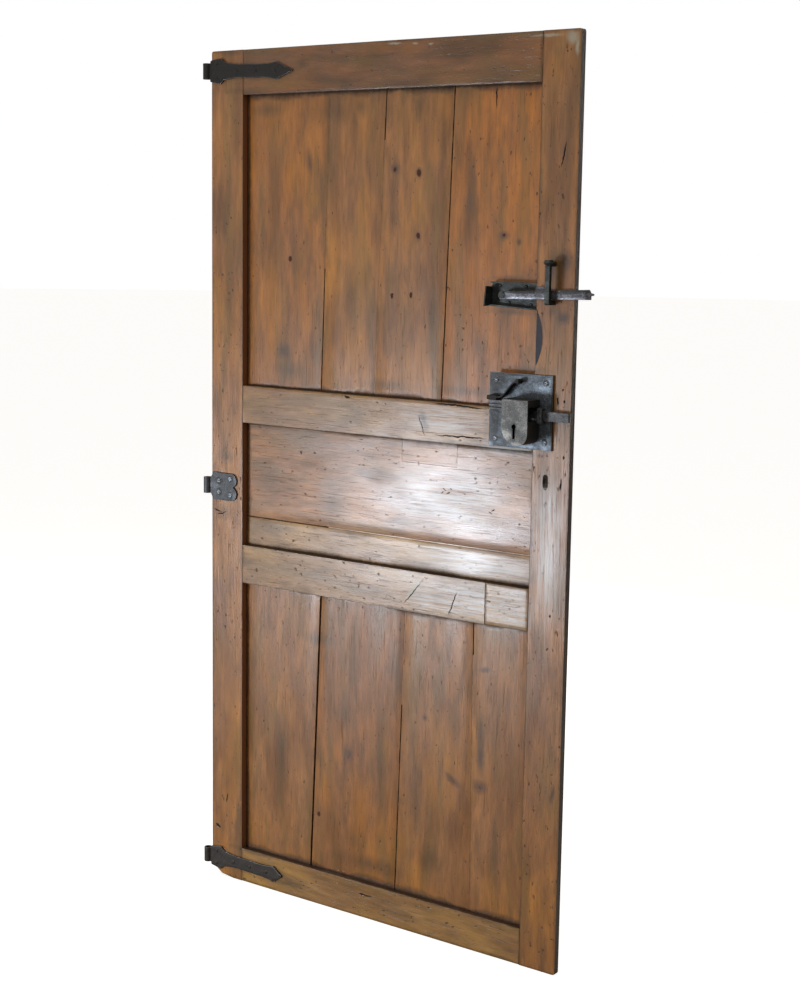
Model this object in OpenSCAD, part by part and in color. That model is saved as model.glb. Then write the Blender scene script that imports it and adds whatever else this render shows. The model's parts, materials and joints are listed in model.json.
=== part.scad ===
// Framed and panelled wooden door leaf with forged strap hinges, a lifting latch and a rim lock.
//
// Leaf coordinates: X from the hinge edge to the latch edge, Y from the iron side to the back,
// Z up from the bottom edge. The finished part is moved so that its origin is on the hinge pins'
// line, at the bottom face of the lowest hinge eye.

/* [Leaf] */
// Width of the door leaf
leaf_w = 950; // [780:5:1150]
// Height of the door leaf
leaf_h = 1900; // [1580:10:2300]
// Thickness of stiles and rails
leaf_t = 32; // [26:1:40]
// Width of the stile that carries the hinges
hinge_stile_w = 92; // [76:1:115]
// Width of the stile that carries the lock
lock_stile_w = 87; // [85:1:110]
// Thickness of the lip along the latch edge, in front of its rebate
edge_lip_t = 15; // [12:1:20]
// Width of the rebate behind that lip
edge_rebate_w = 12; // [8:1:13]
// Radius of the leaf's upper corners
corner_r = 5; // [2:1:10]

/* [Rails] */
// Height of the top rail
top_rail_h = 97; // [88:1:120]
// Height of the bottom rail
bottom_rail_h = 80; // [70:1:120]
// Lower edge of the upper lock rail, above the leaf's bottom
upper_rail_z = 1081; // [960:1:1120]
// Height of the upper lock rail
upper_rail_h = 84; // [70:1:101]
// Lower edge of the lower lock rail, above the leaf's bottom
lower_rail_z = 713; // [590:1:780]
// Height of the lower lock rail
lower_rail_h = 88; // [73:1:106]
// Length of each tenon
tenon_len = 60; // [40:1:72]
// Thickness of each tenon
tenon_t = 10; // [8:0.5:12]
// Step from a rail's edge to its tenon's edge
tenon_shoulder = 14; // [12:1:20]
// Length of the block spliced into the lower lock rail's latch end
splice_len = 106; // [85:1:127]
// Length of the half lap behind the spliced block
splice_lap = 34; // [25:1:45]

/* [Panel boards] */
// Thickness of the panel boards
board_t = 12; // [10:0.5:15]
// Step from the leaf's back to the boards' back
back_recess = 4; // [2:0.5:6]
// Depth of the grooves that hold the boards
groove_depth = 10; // [8:0.5:11]
// Width of the lap where two boards meet
board_lap = 7; // [5:0.5:10]
// Gap left between neighbouring boards
board_gap = 1.2; // [0.5:0.1:3]
// Gap where a lower board has shrunk away from its neighbour
shrunk_gap = 4; // [1:0.1:5]
// Height of the lower board of the middle panel
low_middle_board_h = 65; // [50:1:80]
// Length of the patch let into the middle panel
patch_l = 142; // [110:1:170]
// Height of the patch let into the middle panel
patch_h = 51; // [40:1:60]

/* [Hinges] */
// Radius of the bore in each hinge eye
pin_bore_r = 5.5; // [4.5:0.1:6.6]
// Wall of each hinge eye round its bore
eye_wall = 4; // [3:0.1:5]
// Gap between the hinge eyes and the leaf's edge
eye_gap = 2; // [1:0.5:4]
// Height of the strap hinges' eyes
eye_h = 35; // [28:1:42]
// Thickness of the hinge straps
strap_t = 5; // [4:0.1:6]
// Length of the top strap, from the leaf's edge to its tip
top_strap_l = 238; // [198:1:285]
// Length of the bottom strap, from the leaf's edge to its tip
bottom_strap_l = 218; // [185:1:266]
// Length of the top strap's arrow, from its shoulders to its tip
top_arrow_l = 48; // [40:1:58]
// Length of the bottom strap's blunt arrow, from its shoulders to its tip
bottom_arrow_l = 26; // [20:1:40]
// Height of the straps at their cross piece
strap_cross_h = 56; // [47:1:67]
// Height of the straps at their waist
strap_waist_h = 29; // [24:1:35]
// Height of the straps at their arrow's shoulders
strap_arrow_h = 38; // [32:1:46]
// Droop of the top strap, in degrees
top_strap_droop = 1.6; // [0:0.1:2.5]
// Droop of the bottom strap, in degrees
bottom_strap_droop = 1; // [0:0.1:1.5]
// Middle of the top strap below the leaf's top
top_strap_down = 43; // [36:1:48]
// Middle of the bottom strap above the leaf's bottom
bottom_strap_up = 44; // [38:1:52]
// Middle of the middle hinge above the leaf's bottom
middle_hinge_z = 930; // [840:1:1000]
// Height of the middle hinge's plate
middle_plate_h = 63; // [56:1:76]
// Length of the middle hinge's plate on the leaf
middle_plate_l = 77; // [66:1:82]
// Height of the middle hinge's eye
middle_eye_h = 37; // [31:1:44]

/* [Latch] */
// Height of the latch pivot above the upper lock rail's lower edge
latch_up = 309; // [280:1:340]
// Pivot of the latch bar, from the lock stile's inner edge
latch_pivot_in = 76; // [64:1:90]
// Length of the latch bar from its pivot to its nose
latch_bar_l = 203; // [190:1:240]
// Height of the latch bar at its nose
latch_bar_h = 20; // [17:0.5:22]
// Thickness of the latch bar
latch_bar_t = 7; // [5:0.5:8]
// Radius of the latch bar's pivot pin
latch_pin_r = 4; // [3:0.5:5]
// Slope at which the latch bar rests, in degrees
latch_rise = 2; // [1:0.1:3]
// Length of the latch tray on the panel
tray_l = 116; // [97:1:139]
// Height of the latch tray
tray_h = 50; // [46:1:60]
// Clear height inside the latch staple
staple_gap_h = 66; // [55:1:76]
// Size of the forged bar that the staple is made of
staple_bar = 11; // [9:0.5:13]
// Staple's middle, from the leaf's latch edge
staple_in = 49; // [45:1:52]

/* [Lock] */
// Side of the square lock plate
lock_plate_s = 150; // [136:1:160]
// Thickness of the lock plate
lock_plate_t = 4; // [3:0.5:5]
// Lock plate's edge, from the leaf's latch edge
lock_plate_in = 40; // [34:1:48]
// Lock plate's lower edge above the upper lock rail's lower edge
lock_plate_up = 5; // [0:1:10]
// Width of the raised lock case
case_w = 62; // [56:1:66]
// Height of the raised lock case
case_h = 91; // [86:1:96]
// Depth of the raised lock case in front of its plate
case_d = 44; // [36:1:53]
// Wall of the lock case
case_wall = 3.5; // [2.5:0.1:4.5]
// Height of the sliding bolt
bolt_h = 20; // [17:0.5:22]
// Thickness of the sliding bolt
bolt_t = 9; // [7.5:0.1:11]
// Width of the slotted keyhole through the lock stile
stile_keyhole_w = 10.5; // [8.5:0.1:13]
// Height of the slotted keyhole through the lock stile
stile_keyhole_h = 30; // [24:1:36]

/* [Hidden] */
$fn = 48;

// Clearances
fit = 0.2;        // between wooden pieces that slot into each other
snug = 0.1;       // between a shank and its hole, all round
play = 0.3;       // between a moving piece and what it slides along
running = 0.05;   // between the latch bar's bore and its pin, all round
over = 1;         // how far a cutter reaches past what it cuts

// Where things are on the leaf
inner_l = hinge_stile_w;
inner_r = leaf_w - lock_stile_w;
upper_rail_top = upper_rail_z + upper_rail_h;
lower_rail_top = lower_rail_z + lower_rail_h;
top_rail_z = leaf_h - top_rail_h;
board_y = leaf_t - back_recess - board_t;
board_in = groove_depth - fit;
tenon_y = (leaf_t - tenon_t) / 2;

// Panel joints: share of the panel's width at the panel's lower and upper end
upper_joints = [[0.278, 0.302], [0.467, 0.497], [0.694, 0.720]];
lower_joints = [[0.254, 0.284], [0.563, 0.586], [0.822, 0.815]];

// Hinges
eye_r = pin_bore_r + eye_wall;
pin_line_x = -(eye_gap + eye_r);
pin_line_y = -strap_t / 2;
top_eye_z = leaf_h - top_strap_down;
bottom_eye_z = bottom_strap_up;
origin_z = bottom_eye_z - eye_h / 2;
nail_r = 2;
nail_head_r = 5;
nail_head_t = 1.6;
nail_l = 22;
screw_r = 2.4;
screw_head_r = 6;
screw_l = 24;
cross_nail_x = 17;
cross_nail_z = 15;
top_nails = strap_nails(top_strap_l, top_strap_droop, top_eye_z);
bottom_nails = strap_nails(bottom_strap_l, bottom_strap_droop, bottom_eye_z);
middle_screws = [for (p = [[25, 13], [25, -13], [59, 19], [59, -18]]) [p[0], middle_hinge_z + p[1]]];

// Latch
latch_x = inner_r - latch_pivot_in;
latch_z = upper_rail_z + latch_up;
tray_t = 3;
tray_x = inner_r - tray_l;
tray_top = latch_z + tray_h / 2 + 1;
tray_low = tray_top - tray_h;
bar_y = -2.5 - latch_bar_t;
bar_end_h = latch_bar_h - 4;
staple_x = leaf_w - staple_in;
staple_reach = 24;
staple_low = latch_z + (staple_x - latch_x) * tan(latch_rise) - latch_bar_h / 2 - 0.8;
staple_leg_h = 9;
staple_leg_in = 20;
tray_nail_r = 1.6;
tray_nails = [for (p = [[22, 18], [84, 18], [44, -15.5], [96, -18]]) [tray_x + p[0], latch_z + p[1]]];

// Lock
lock_x = leaf_w - lock_plate_in - lock_plate_s;
lock_z = upper_rail_z + lock_plate_up;
lock_top = lock_z + lock_plate_s;
case_right = lock_x + 120;
case_left = case_right - case_w;
case_low = lock_z + 11;
case_top = case_low + case_h;
bolt_z = case_top - 42;
bolt_tail_z = case_top - 27;
bolt_y = -lock_plate_t - play - bolt_t;
bolt_end_x = leaf_w + 3;
bolt_tail_x = lock_x + 4;
bolt_knee_x = case_left + 14;
keyhole_x = case_left + case_w / 2 - 1;
keyhole_z = case_low + 37;
keyhole_r = 4.8;
keyhole_slot_w = 5;
keyhole_drop = 24;
guide_x = case_right + 1.5;
guide_w = 11;
guide_wall = 3.5;
lock_screw_inset = 16;
lock_screw_r = 2.4;
lock_screw_head_r = 5;
lock_screw_l = board_y + board_t * 0.7;
lock_screw_at = [for (x = [lock_x + lock_screw_inset, lock_x + lock_plate_s - lock_screw_inset],
                      z = [lock_z + lock_screw_inset, lock_top - lock_screw_inset]) [x, z]];
spring_t = 2.6;
spring_w = 14;
spring_top = [case_left + 16, lock_top - 15];
spring_tip_x = lock_x + 3;
spring_low_z = bolt_tail_z + bolt_h + 6;
spring_rivet_r = 2.5;
notch_low = lock_top + 14;
notch_high = tray_low;
notch_depth = 16;

// Nail places on a strap hinge: two on the cross piece and three along the strap
function strap_nails(length, droop, eye_z) = [
    for (p = [[cross_nail_x, cross_nail_z], [cross_nail_x, -cross_nail_z],
              [0.32 * length, 0], [0.55 * length, 0], [0.78 * length, 0]])
        [p[0], eye_z + p[1] - (p[0] - pin_line_x) * tan(droop)]
];

// Place of a slanted joint line at a height, as [share at the low end, share at the high end]
function joint_x(shares, z, z_low, z_high) =
    inner_l + (inner_r - inner_l)
        * (shares[0] + (shares[1] - shares[0]) * (z - z_low) / (z_high - z_low));

// Half height of a strap at the distance x from the leaf's edge
function strap_half(x, length, arrow_l) =
    let (root = strap_cross_h / 2, waist = strap_waist_h / 2, arrow = strap_arrow_h / 2,
         horn_x = 31, root_end = 46, arrow_x = length - arrow_l, flare = arrow_x - 55)
    x < 3 ? eye_h / 2 + (root - 4 - eye_h / 2) * (x - pin_line_x) / (3 - pin_line_x)
    : x < horn_x ? root - 4 + 4 * (x - 3) / (horn_x - 3)
    : x < root_end ? waist + 4 + (root - waist - 4) * pow((root_end - x) / (root_end - horn_x), 2)
    : x < root_end + 40 ? waist + 4 * pow((root_end + 40 - x) / 40, 2)
    : x < flare ? waist
    : x < arrow_x ? waist + (arrow - waist) * pow((x - flare) / (arrow_x - flare), 3)
    : arrow * (length - x) / (length - arrow_x);

// ---------------------------------------------------------------- helpers

// Moves a piece from leaf coordinates to the part's own frame
module on_leaf() translate([-pin_line_x, -pin_line_y, -origin_z]) children();

// Extrudes an outline drawn in X and Z between two depths
module upright(y_front, thickness)
    translate([0, y_front + thickness, 0]) rotate([90, 0, 0]) linear_extrude(thickness) children();

// A round bar along Y
module rod(at, y_front, length, r)
    translate([at[0], y_front, at[1]]) rotate([-90, 0, 0]) cylinder(r = r, h = length);

// The square edge of a corner, outside a round of radius r
module corner_waste(r)
    difference() {
        translate([-over, -over]) square(r + over);
        translate([r, r]) circle(r);
    }

// A block from one corner to the opposite one
module block(low, high) translate(low) cube(high - low);

module screw(at, head_r, shank_r, length, y_face)
    difference() {
        union() {
            translate([at[0], y_face - 2, at[1]]) rotate([-90, 0, 0])
                cylinder(r1 = head_r - 1.5, r2 = head_r, h = 2);
            rod(at, y_face - 0.01, length, shank_r);
        }
        translate([at[0], y_face - 2, at[1]]) rotate([0, 12, 0])
            cube([head_r * 3, 2, 1.4], center = true);
    }

module nail(at, head_r, shank_r, length, y_face) {
    translate([at[0], y_face - nail_head_t, at[1]]) rotate([-90, 0, 0])
        cylinder(r1 = head_r * 0.45, r2 = head_r, h = nail_head_t);
    rod(at, y_face - 0.01, length, shank_r);
}

module shank_holes(places, r, y_front, length)
    for (at = places) rod(at, y_front, length, r + snug);

// Every hole that a nail or screw makes in the wood
module wood_holes() {
    shank_holes(concat(top_nails, bottom_nails), nail_r, -over, nail_l + over);
    shank_holes(middle_screws, screw_r, -over, screw_l + over);
    shank_holes(lock_screw_at, lock_screw_r, -over, lock_screw_l + over);
    shank_holes(tray_nails, tray_nail_r, 0, board_y + board_t * 0.7 + snug);
}

// ---------------------------------------------------------------- frame of the leaf

module mortise(x_low, x_high, z_low, z_high)
    block([x_low, tenon_y - fit, z_low + tenon_shoulder - fit],
          [x_high, tenon_y + tenon_t + fit, z_high - tenon_shoulder + fit]);

module all_mortises(x_low, x_high) {
    mortise(x_low, x_high, 0, bottom_rail_h);
    mortise(x_low, x_high, lower_rail_z, lower_rail_top);
    mortise(x_low, x_high, upper_rail_z, upper_rail_top);
    mortise(x_low, x_high, top_rail_z, leaf_h);
}

// The groove round one panel opening
module groove(z_low, z_high)
    block([inner_l - groove_depth, board_y - fit, z_low - groove_depth],
          [inner_r + groove_depth, board_y + board_t + fit, z_high + groove_depth]);

module all_grooves() {
    groove(bottom_rail_h, lower_rail_z);
    groove(lower_rail_top, upper_rail_z);
    groove(upper_rail_top, top_rail_z);
}

module hinge_stile() on_leaf() color("peru")
    difference() {
        upright(0, leaf_t) difference() {
            square([hinge_stile_w, leaf_h]);
            translate([0, leaf_h]) mirror([0, 1]) corner_waste(corner_r);
            // bottom corner worn away
            polygon([[-over, -over], [66, -over], [66, 0], [30, 4.5], [0, 24], [-over, 24]]);
        }
        all_mortises(inner_l - tenon_len - over, inner_l + over);
        all_grooves();
        wood_holes();
    }

module lock_stile() on_leaf() color("sienna")
    difference() {
        upright(0, leaf_t) difference() {
            translate([inner_r, 0]) square([lock_stile_w, leaf_h]);
            translate([leaf_w, leaf_h]) rotate(180) corner_waste(corner_r);
            translate([leaf_w, 0]) mirror([1, 0]) corner_waste(corner_r);
        }
        all_mortises(inner_r - over, inner_r + tenon_len + over);
        all_grooves();
        wood_holes();
        staple_legs(-over, snug);
        stile_keyhole();
        worn_notch();
        // rebate along the back of the latch edge, which shuts behind the frame's stop
        block([leaf_w - edge_rebate_w, edge_lip_t, -over], [leaf_w + over, leaf_t + over, leaf_h + over]);
    }

module stile_keyhole() {
    x = leaf_w - 55;
    z = upper_rail_z - 58;
    r = stile_keyhole_w / 2;
    reach = stile_keyhole_h / 2 - r;
    rod([x, z - reach], -over, leaf_t + 2 * over, r);
    rod([x, z + reach], -over, leaf_t + 2 * over, r);
    block([x - r, -over, z - reach], [x + r, leaf_t + over, z + reach]);
}

// Hollow worn into the lock stile's inner edge, between the latch and the lock
module worn_notch() {
    half = (notch_high - notch_low) / 2;
    r = (half * half + notch_depth * notch_depth) / (2 * notch_depth);
    rod([inner_r + notch_depth - r, notch_low + half], -over, board_y + over, r, $fn = 180);
}

// A whole rail with a tenon at each end, before the grooves are cut
module rail_blank(z_low, z_high) {
    block([inner_l, 0, z_low], [inner_r, leaf_t, z_high]);
    block([inner_l - tenon_len, tenon_y, z_low + tenon_shoulder],
          [inner_r + tenon_len, tenon_y + tenon_t, z_high - tenon_shoulder]);
}

module rail(z_low, z_high)
    difference() {
        rail_blank(z_low, z_high);
        all_grooves();
        wood_holes();
    }

module top_rail() on_leaf() color("peru") rail(top_rail_z, leaf_h);

module upper_lock_rail() on_leaf() color("burlywood") rail(upper_rail_z, upper_rail_top);

module bottom_rail() on_leaf() color("peru") rail(0, bottom_rail_h);

// The latch end of the lower lock rail: full depth past the lap, front half over it
module splice_zone(slack) {
    x = inner_r - splice_len;
    block([x + slack, -over, lower_rail_z - over],
          [leaf_w, leaf_t / 2 - slack, lower_rail_top + over]);
    block([x + splice_lap + slack, -over, lower_rail_z - over],
          [leaf_w, leaf_t + over, lower_rail_top + over]);
}

module lower_lock_rail() on_leaf() color("burlywood")
    difference() {
        rail(lower_rail_z, lower_rail_top);
        splice_zone(0);
    }

module lock_rail_splice() on_leaf() color("tan")
    intersection() {
        rail(lower_rail_z, lower_rail_top);
        splice_zone(fit);
    }

// ---------------------------------------------------------------- panels

// One layer of an upright board, between two slanted edges each moved sideways by a step
module board_layer(y_front, z_low, z_high, left, right, left_step, right_step)
    upright(y_front, board_t / 2)
        polygon([for (e = [[left, left_step, 0], [left, left_step, 1],
                           [right, right_step, 1], [right, right_step, 0]])
            let (z = e[2] == 1 ? z_high + board_in : z_low - board_in)
            [joint_x(e[0], z, z_low, z_high) + e[1], z]]);

// Upright board number i of a panel: the back layer laps behind the next board
module upright_board(joints, gaps, i, z_low, z_high) {
    last = len(joints);
    left = i == 0 ? [0, 0] : joints[i - 1];
    right = i == last ? [1, 1] : joints[i];
    left_gap = i == 0 ? -board_in : gaps[i - 1] / 2;
    right_gap = i == last ? board_in : -gaps[i] / 2;
    difference() {
        union() {
            board_layer(board_y, z_low, z_high, left, right, left_gap, right_gap);
            board_layer(board_y + board_t / 2, z_low, z_high, left, right,
                        i == 0 ? left_gap : left_gap + board_lap,
                        i == last ? right_gap : right_gap + board_lap);
        }
        wood_holes();
    }
}

module upper_board(i) on_leaf() color(["chocolate", "peru", "sienna", "chocolate"][i])
    upright_board(upper_joints, [board_gap, board_gap, board_gap], i, upper_rail_top, top_rail_z);

module lower_board(i) on_leaf() color(["peru", "chocolate", "peru", "sienna"][i])
    upright_board(lower_joints, [shrunk_gap, board_gap, board_gap], i,
                  bottom_rail_h, lower_rail_z);

middle_joint_z = lower_rail_top + low_middle_board_h;
patch_x = inner_l + 436;
patch_t = board_t / 2;

module middle_board_high() on_leaf() color("peru")
    difference() {
        union() {
            block([inner_l - board_in, board_y, middle_joint_z + board_gap / 2],
                  [inner_r + board_in, board_y + board_t / 2, upper_rail_z + board_in]);
            block([inner_l - board_in, board_y + board_t / 2,
                   middle_joint_z + board_lap + board_gap / 2],
                  [inner_r + board_in, board_y + board_t, upper_rail_z + board_in]);
        }
        block([patch_x, board_y - over, upper_rail_z - patch_h],
              [patch_x + patch_l, board_y + patch_t, upper_rail_z + groove_depth]);
        wood_holes();
    }

module middle_board_low() on_leaf() color("chocolate") {
    block([inner_l - board_in, board_y, lower_rail_top - board_in],
          [inner_r + board_in, board_y + board_t / 2, middle_joint_z - board_gap / 2]);
    block([inner_l - board_in, board_y + board_t / 2, lower_rail_top - board_in],
          [inner_r + board_in, board_y + board_t, middle_joint_z + board_lap - board_gap / 2]);
}

module panel_patch() on_leaf() color("burlywood")
    block([patch_x + fit, board_y, upper_rail_z - patch_h + fit],
          [patch_x + patch_l - fit, board_y + patch_t - fit, upper_rail_z + board_in]);

// ---------------------------------------------------------------- hinges

// A strap on the leaf's face with its rolled eye, drooping about the eye
module strap_hinge(length, arrow_l, droop, eye_z, nails)
    difference() {
        union() {
            translate([pin_line_x, pin_line_y, eye_z - eye_h / 2]) cylinder(r = eye_r, h = eye_h);
            translate([pin_line_x, 0, eye_z]) rotate([0, droop, 0]) translate([-pin_line_x, 0, 0])
                upright(-strap_t, strap_t) strap_outline(length, arrow_l);
        }
        translate([pin_line_x, pin_line_y, eye_z - eye_h])
            cylinder(r = pin_bore_r, h = 2 * eye_h);
        // the cross piece and its neck stay off the pin above and below the eye
        for (side = [-1, 1])
            translate([pin_line_x - eye_r, -strap_t - over, eye_z + side * eye_h - eye_h / 2])
                cube([eye_r * 2 + eye_gap / 2, strap_t + 2 * over, eye_h]);
        shank_holes(nails, nail_r, -strap_t - over, strap_t + 2 * over);
    }

module strap_outline(length, arrow_l) {
    xs = concat([pin_line_x, 0, 3, 17, 31], [for (i = [1:5]) 31 + 3 * i], [56, 66, 76, 86],
                [for (i = [0:6]) length - arrow_l - 55 + i * 55 / 6], [length]);
    polygon(concat([for (x = xs) [x, strap_half(x, length, arrow_l)]],
                   [for (i = [len(xs) - 2:-1:0]) [xs[i], -strap_half(xs[i], length, arrow_l)]]));
}

module top_hinge_strap() on_leaf() color("dimgray")
    strap_hinge(top_strap_l, top_arrow_l, top_strap_droop, top_eye_z, top_nails);

module bottom_hinge_strap() on_leaf() color("dimgray")
    strap_hinge(bottom_strap_l, bottom_arrow_l, bottom_strap_droop, bottom_eye_z, bottom_nails);

module top_hinge_nails() on_leaf() color("gray")
    for (at = top_nails) nail(at, nail_head_r, nail_r, nail_l + strap_t - over, -strap_t);

module bottom_hinge_nails() on_leaf() color("gray")
    for (at = bottom_nails) nail(at, nail_head_r, nail_r, nail_l + strap_t - over, -strap_t);

// Plate with a heart-shaped end of two lobes, hollow shoulders and a rolled eye
module middle_hinge_plate() on_leaf() color("slategray") {
    t = strap_t - 1;
    lobe_r = middle_plate_h / 4 + 0.5;
    lobe_x = middle_plate_l - lobe_r;
    half = middle_plate_h / 2;
    difference() {
        union() {
            translate([pin_line_x, pin_line_y, middle_hinge_z - middle_eye_h / 2])
                cylinder(r = eye_r, h = middle_eye_h);
            translate([0, 0, middle_hinge_z]) upright(-t, t) {
                difference() {
                    translate([pin_line_x, -half]) square([lobe_x - pin_line_x, 2 * half]);
                    for (side = [-1, 1])
                        translate([pin_line_x, side * half]) circle(half - middle_eye_h / 2 + 3);
                    for (side = [-1, 1])
                        translate([pin_line_x - over, side * (half + middle_eye_h / 2) - half])
                            square([-pin_line_x + over, 2 * half]);
                }
                for (side = [-1, 1]) translate([lobe_x, side * (half - lobe_r)]) circle(lobe_r);
            }
        }
        translate([pin_line_x, pin_line_y, middle_hinge_z - middle_eye_h])
            cylinder(r = pin_bore_r, h = 2 * middle_eye_h);
        shank_holes(middle_screws, screw_r, -strap_t - over, strap_t + 2 * over);
    }
}

module middle_hinge_screws() on_leaf() color("silver")
    for (at = middle_screws)
        screw(at, screw_head_r, screw_r, screw_l + strap_t - 2 * over, -strap_t + 1);

// ---------------------------------------------------------------- latch

// Shallow iron tray in the panel's recess, its open end against the lock stile
module latch_tray() on_leaf() color("darkslategray") {
    floor_y = board_y - tray_t;
    rim = 3;
    low_right = tray_low - 4;
    difference() {
        union() {
            upright(floor_y, tray_t)
                polygon([[tray_x, tray_low + 2], [inner_r, low_right], [inner_r, tray_top],
                         [tray_x + 6, tray_top], [tray_x, tray_top - 10]]);
            // top rim
            block([tray_x + 6, 0.5, tray_top - rim], [inner_r, board_y, tray_top]);
            // bottom rim, sloping down to the stile
            upright(0.5, board_y - 0.5)
                polygon([[tray_x, tray_low + 2], [inner_r, low_right],
                         [inner_r, low_right + rim], [tray_x, tray_low + 2 + rim]]);
            // upturned end, wider at its foot
            translate([tray_x, 0, 0]) rotate([90, 0, 90]) linear_extrude(rim)
                polygon([[board_y, tray_low + 2], [-15, tray_low + 1], [-9, tray_top - 9],
                         [board_y, tray_top - 10]]);
        }
        shank_holes(tray_nails, tray_nail_r, floor_y - over, tray_t + 2 * over);
        rod([latch_x, latch_z], floor_y - over, tray_t + 2 * over, latch_pin_r + snug);
    }
}

module latch_tray_nails() on_leaf() color("gray")
    for (at = tray_nails) nail(at, 3.6, tray_nail_r, tray_t + board_t * 0.6, board_y - tray_t);

// Shouldered rivet: collar on the tray's floor, pin through the bar, thin head in front
module latch_rivet() on_leaf() color("gray") {
    at = [latch_x, latch_z];
    bar_back = bar_y + latch_bar_t;
    rod(at, bar_back + play, board_y - tray_t - bar_back - play, latch_pin_r + 3.5);
    rod(at, bar_y - play - 1.2, board_y - bar_y + play + 1.2, latch_pin_r);
    rod(at, bar_y - play - 1.2, 1.2, latch_pin_r + 2.5);
}

module latch_bar() on_leaf() color("lightslategray")
    translate([latch_x, 0, latch_z]) rotate([0, -latch_rise, 0])
        difference() {
            upright(bar_y, latch_bar_t) {
                circle(bar_end_h / 2 + 0.5);
                polygon([[0, -bar_end_h / 2], [latch_bar_l, -latch_bar_h / 2],
                         [latch_bar_l, -3], [latch_bar_l + 12, -1.2], [latch_bar_l + 12, 1.6],
                         [latch_bar_l, 3.5], [latch_bar_l - 3, latch_bar_h / 2],
                         [0, bar_end_h / 2]]);
                // raised shoulder short of the staple
                polygon([[78, 0], [101, 0], [101, latch_bar_h / 2 + 7],
                         [84, latch_bar_h / 2 + 7], [78, latch_bar_h / 2 + 2]]);
            }
            rod([0, 0], bar_y - over, latch_bar_t + 2 * over, latch_pin_r + running);
            // end bevelled to slide up its keeper
            translate([latch_bar_l - 9, bar_y, 0]) rotate([0, 0, 24])
                translate([0, -10, -latch_bar_h]) cube([40, 10, 2 * latch_bar_h]);
        }

// Legs of the staple in the stile, or their holes
module staple_legs(y_front, slack)
    for (z = [staple_low - staple_leg_h, staple_low + staple_gap_h])
        block([staple_x - staple_bar / 2 - slack, y_front, z - slack],
              [staple_x + staple_bar / 2 + slack, staple_leg_in + slack, z + staple_leg_h + slack]);

module latch_staple() on_leaf() color("dimgray") {
    staple_legs(0, 0);
    half = staple_bar / 2;
    high = staple_low + staple_gap_h + staple_leg_h;
    low = staple_low - staple_leg_h;
    difference() {
        union() {
            block([staple_x - half, -staple_reach, low], [staple_x + half, 0, high]);
            // head burred over by the hammer
            translate([staple_x, -staple_reach + half, high - 9]) cylinder(r1 = half, r2 = 11, h = 7);
            translate([staple_x, -staple_reach + half, high - 2]) cylinder(r1 = 11, r2 = 8, h = 6);
        }
        block([staple_x - half - over, -staple_reach + 9, staple_low],
              [staple_x + half + over, over, staple_low + staple_gap_h]);
        // hammered lower corner
        translate([staple_x, -staple_reach, low]) rotate([45, 0, 0])
            cube([staple_bar + over, 5, 5], center = true);
    }
}

// ---------------------------------------------------------------- lock

module lock_plate() on_leaf() color("lightsteelblue")
    difference() {
        block([lock_x, -lock_plate_t, lock_z], [lock_x + lock_plate_s, 0, lock_top]);
        shank_holes(lock_screw_at, lock_screw_r, -lock_plate_t - over, lock_plate_t + 2 * over);
        rod(spring_top, -lock_plate_t - over, lock_plate_t + 2 * over, spring_rivet_r + snug);
    }

module lock_screws() on_leaf() color("gray")
    for (at = lock_screw_at)
        screw(at, lock_screw_head_r, lock_screw_r, lock_plate_t + lock_screw_l - over,
              -lock_plate_t);

// Outline of the lock case, drawn in by a wall, with its two lower corners rounded
module case_outline(inset) {
    w = case_w - 2 * inset;
    h = case_h - 2 * inset;
    translate([case_left + inset, case_low + inset])
        difference() {
            square([w, h]);
            corner_waste(36 - inset);
            translate([w, 0]) mirror([1, 0]) corner_waste(22 - inset);
        }
}

module lock_case() on_leaf() color("darkgray") {
    front = -lock_plate_t - case_d;
    side_low = bolt_z - 0.5;
    side_high = case_top - 15;
    difference() {
        upright(front, case_d) case_outline(0);
        upright(front + case_wall, case_d) case_outline(case_wall);
        // keyhole
        rod([keyhole_x, keyhole_z], front - over, case_wall + 2 * over, keyhole_r);
        block([keyhole_x - keyhole_slot_w / 2, front - over, keyhole_z - keyhole_drop],
              [keyhole_x + keyhole_slot_w / 2, front + case_wall + over, keyhole_z]);
        // latch side, open from front to plate where the bolt comes out
        block([case_right - case_wall - over, front + case_wall, side_low],
              [case_right + over, over, side_high]);
        // hinge side, open for the bolt's tail
        block([case_left - over, bolt_y - play, bolt_tail_z - play],
              [case_left + case_wall + over, over, bolt_tail_z + bolt_h + play]);
    }
}

// Sliding bolt: shot end low, ridged tail high, joined by a knee inside the case
module lock_bolt() on_leaf() color("silver")
    difference() {
        upright(bolt_y, bolt_t) {
            translate([bolt_knee_x, bolt_z]) square([bolt_end_x - bolt_knee_x, bolt_h]);
            translate([bolt_tail_x, bolt_tail_z])
                square([bolt_knee_x + 12 - bolt_tail_x, bolt_h]);
        }
        // finger ridges along the tail
        for (z = [bolt_h / 3, bolt_h * 2 / 3])
            block([bolt_tail_x - over, bolt_y - over, bolt_tail_z + z - 1.2],
                  [case_left - 4, bolt_y + 2.5, bolt_tail_z + z + 1.2]);
        // notch that the key's bit throws
        block([keyhole_x - 4, bolt_y - over, bolt_z - over],
              [keyhole_x + 5, -lock_plate_t, bolt_z + 5]);
    }

module bolt_guide() on_leaf() color("dimgray")
    difference() {
        block([guide_x, bolt_y - play - guide_wall, bolt_z - play - 5],
              [guide_x + guide_w, -lock_plate_t, bolt_z + bolt_h + play + 5]);
        block([guide_x - over, bolt_y - play, bolt_z - play],
              [guide_x + guide_w + over, -lock_plate_t + over, bolt_z + bolt_h + play]);
    }

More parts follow.
